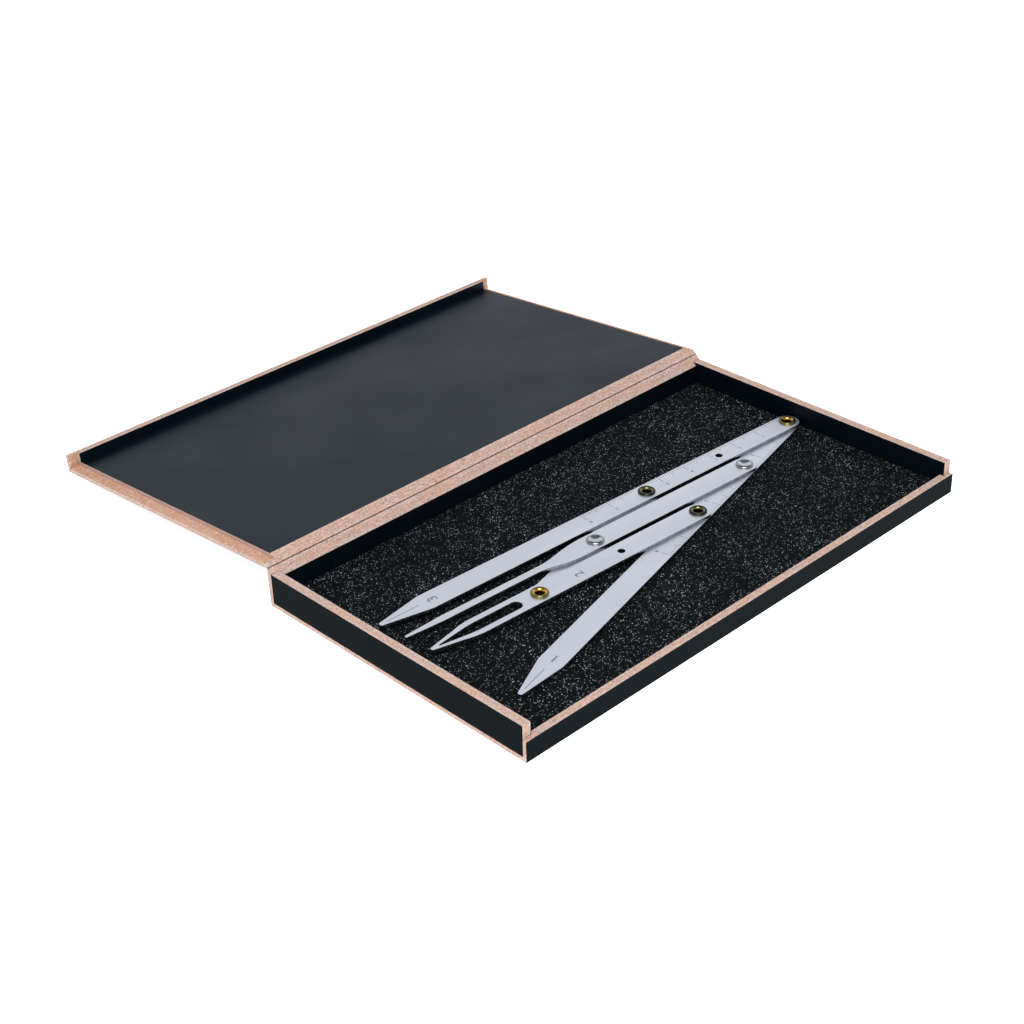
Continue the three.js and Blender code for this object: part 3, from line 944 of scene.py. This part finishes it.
def make_rivet(node, material, body, slot):
    """A solid rivet: a dished head with a rolled rim, spread out flat underneath."""
    first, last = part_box(node)
    head = (last.x - first.x) / 2
    head_base = last.z - HEAD_HEIGHT
    foot = head - FOOT_INSET
    foot_top = first.z + FOOT_HEIGHT
    crest = 0.74 * head         # where the rim is highest
    side = 0.12 * MM            # the upright part of the head's side
    dish = 0.45 * MM
    chamfer = 0.05 * MM
    profile = [(0, first.z), (foot - FOOT_HEIGHT, first.z), (foot, foot_top - chamfer)]
    profile += [(foot, foot_top), (SHANK_RADIUS, foot_top), (SHANK_RADIUS, head_base)]
    profile += [(head - chamfer, head_base), (head, head_base + chamfer)]
    roll = (head - crest, last.z - head_base - side)
    profile += arc((crest, head_base + side), roll, 0, 90, 14)
    steps = 16
    for step in range(1, steps + 1):
        reach = 1 - step / steps
        profile.append((crest * reach, last.z - dish * (1 - reach ** 2)))
    lathe(f"{node}_metal", node, profile, material, body, slot, False)


def make_pivots():
    make_eyelet("main_eyelet", bright_brass, "lower_arm", "bright_brass")
    make_eyelet("upper_link_eyelet", dark_brass, "upper_arm", "dark_brass")
    make_eyelet("slotted_prong_eyelet", dark_brass, "lower_arm", "dark_brass")
    make_eyelet("end_link_eyelet", bright_brass, "slotted_prong", "bright_brass")
    make_rivet("single_prong_rivet", polished_steel, "lower_arm", "polished_steel")
    make_rivet("middle_link_rivet", polished_steel, "single_prong", "polished_steel")


# ---------- room, light and camera ----------

FLOOR_GAP = 0.02 * MM         # keeps the floor clear of the box's underside


def make_camera():
    """The photo's view, solved from the box's corners in the photo."""
    place = Vector((-0.3315, -0.3089, 0.2858))
    aim = Vector((-0.0082, 0.0360, 0.0))
    roll = math.radians(2.02)
    data = bpy.data.cameras.new("camera")
    data.lens = 67.9
    data.sensor_width = 36
    data.clip_start = 0.01
    camera = bpy.data.objects.new("camera", data)
    bpy.context.scene.collection.objects.link(camera)
    look = (aim - place).to_track_quat("-Z", "Y").to_matrix().to_4x4()
    camera.matrix_world = Matrix.Translation(place) @ look @ Matrix.Rotation(-roll, 4, "Z")
    bpy.context.scene.camera = camera


def area_light(name, place, aim, size, power):
    data = bpy.data.lights.new(name, "AREA")
    data.shape = "RECTANGLE"
    data.size, data.size_y = size
    data.energy = power
    lamp = bpy.data.objects.new(name, data)
    bpy.context.scene.collection.objects.link(lamp)
    lamp.location = place
    lamp.rotation_mode = "QUATERNION"
    lamp.rotation_quaternion = (Vector(aim) - Vector(place)).to_track_quat("-Z", "Y")


def make_sky():
    """A pale studio: bright up to 35 degrees, a dark band over it, brighter beyond the hinge."""
    away_from_camera = (0.68, 0.73, 0)
    dimmest = 0.55
    world = bpy.data.worlds.new("studio")
    world.use_nodes = True
    tree = world.node_tree
    background = tree.nodes["Background"]
    aim = tree.nodes.new("ShaderNodeTexCoord").outputs["Generated"]
    height = tree.nodes.new("ShaderNodeSeparateXYZ")
    tree.links.new(aim, height.inputs["Vector"])
    dome = tree.nodes.new("ShaderNodeValToRGB")
    tree.links.new(height.outputs["Z"], dome.inputs["Fac"])
    bands = dome.color_ramp.elements        # placed by the sine of the height above the floor
    bands[0].color = grey(0.8)
    bands.new(0.6).color = (0.87, 0.92, 1.0, 1)
    bands.new(0.82).color = grey(0.14)
    bands.new(0.9).color = grey(0.14)
    bands[-1].color = grey(0.35)
    facing = tree.nodes.new("ShaderNodeVectorMath")
    facing.operation = "DOT_PRODUCT"
    facing.inputs[1].default_value = away_from_camera
    tree.links.new(aim, facing.inputs[0])
    share = tree.nodes.new("ShaderNodeMapRange")
    share.inputs["From Min"].default_value = -0.6
    share.inputs["From Max"].default_value = 0.5
    share.inputs["To Min"].default_value = dimmest
    tree.links.new(facing.outputs["Value"], share.inputs["Value"])
    dimmed = tree.nodes.new("ShaderNodeVectorMath")
    dimmed.operation = "SCALE"
    tree.links.new(dome.outputs["Color"], dimmed.inputs[0])
    tree.links.new(share.outputs["Result"], dimmed.inputs["Scale"])
    tree.links.new(dimmed.outputs["Vector"], background.inputs["Color"])
    background.inputs["Strength"].default_value = 1.04
    bpy.context.scene.world = world


def make_floor():
    """A white floor that is bright enough of itself to show only the softest shadow."""
    bm = bmesh.new()
    bmesh.ops.create_grid(bm, x_segments=8, y_segments=8, size=4.0)
    mesh = bpy.data.meshes.new("floor")
    bm.to_mesh(mesh)
    bm.free()
    n = Nodes("pale_floor")
    cloud = n.noise(n.add("ShaderNodeTexCoord").outputs["Object"], 2.0, 2.0)
    tone = n.mix(cloud, linear(250, 250, 250), linear(247, 247, 248))
    mesh.materials.append(n.surface(
        Base_Color=tone, Roughness=0.8, Specular_IOR_Level=0.1,
        Emission_Color=grey(1.0), Emission_Strength=0.85,
    ))
    floor = bpy.data.objects.new("floor", mesh)
    bpy.context.scene.collection.objects.link(floor)
    floor.location.z = -FLOOR_GAP


def make_room():
    bpy.context.scene.view_settings.view_transform = "Standard"
    make_sky()
    box_middle = (0, 0.03, 0)
    area_light("overhead", (-0.35, -0.35, 0.95), box_middle, (0.6, 0.6), 12.0)
    area_light("side", (-0.9, 0.2, 0.5), box_middle, (0.6, 0.4), 0.6)
    make_floor()


# ---------- put together ----------

make_camera()
make_room()
make_box()
make_foam_pad()
for node, bar in BARS.items():
    make_bar(node, bar)
make_marks()
make_pivots()
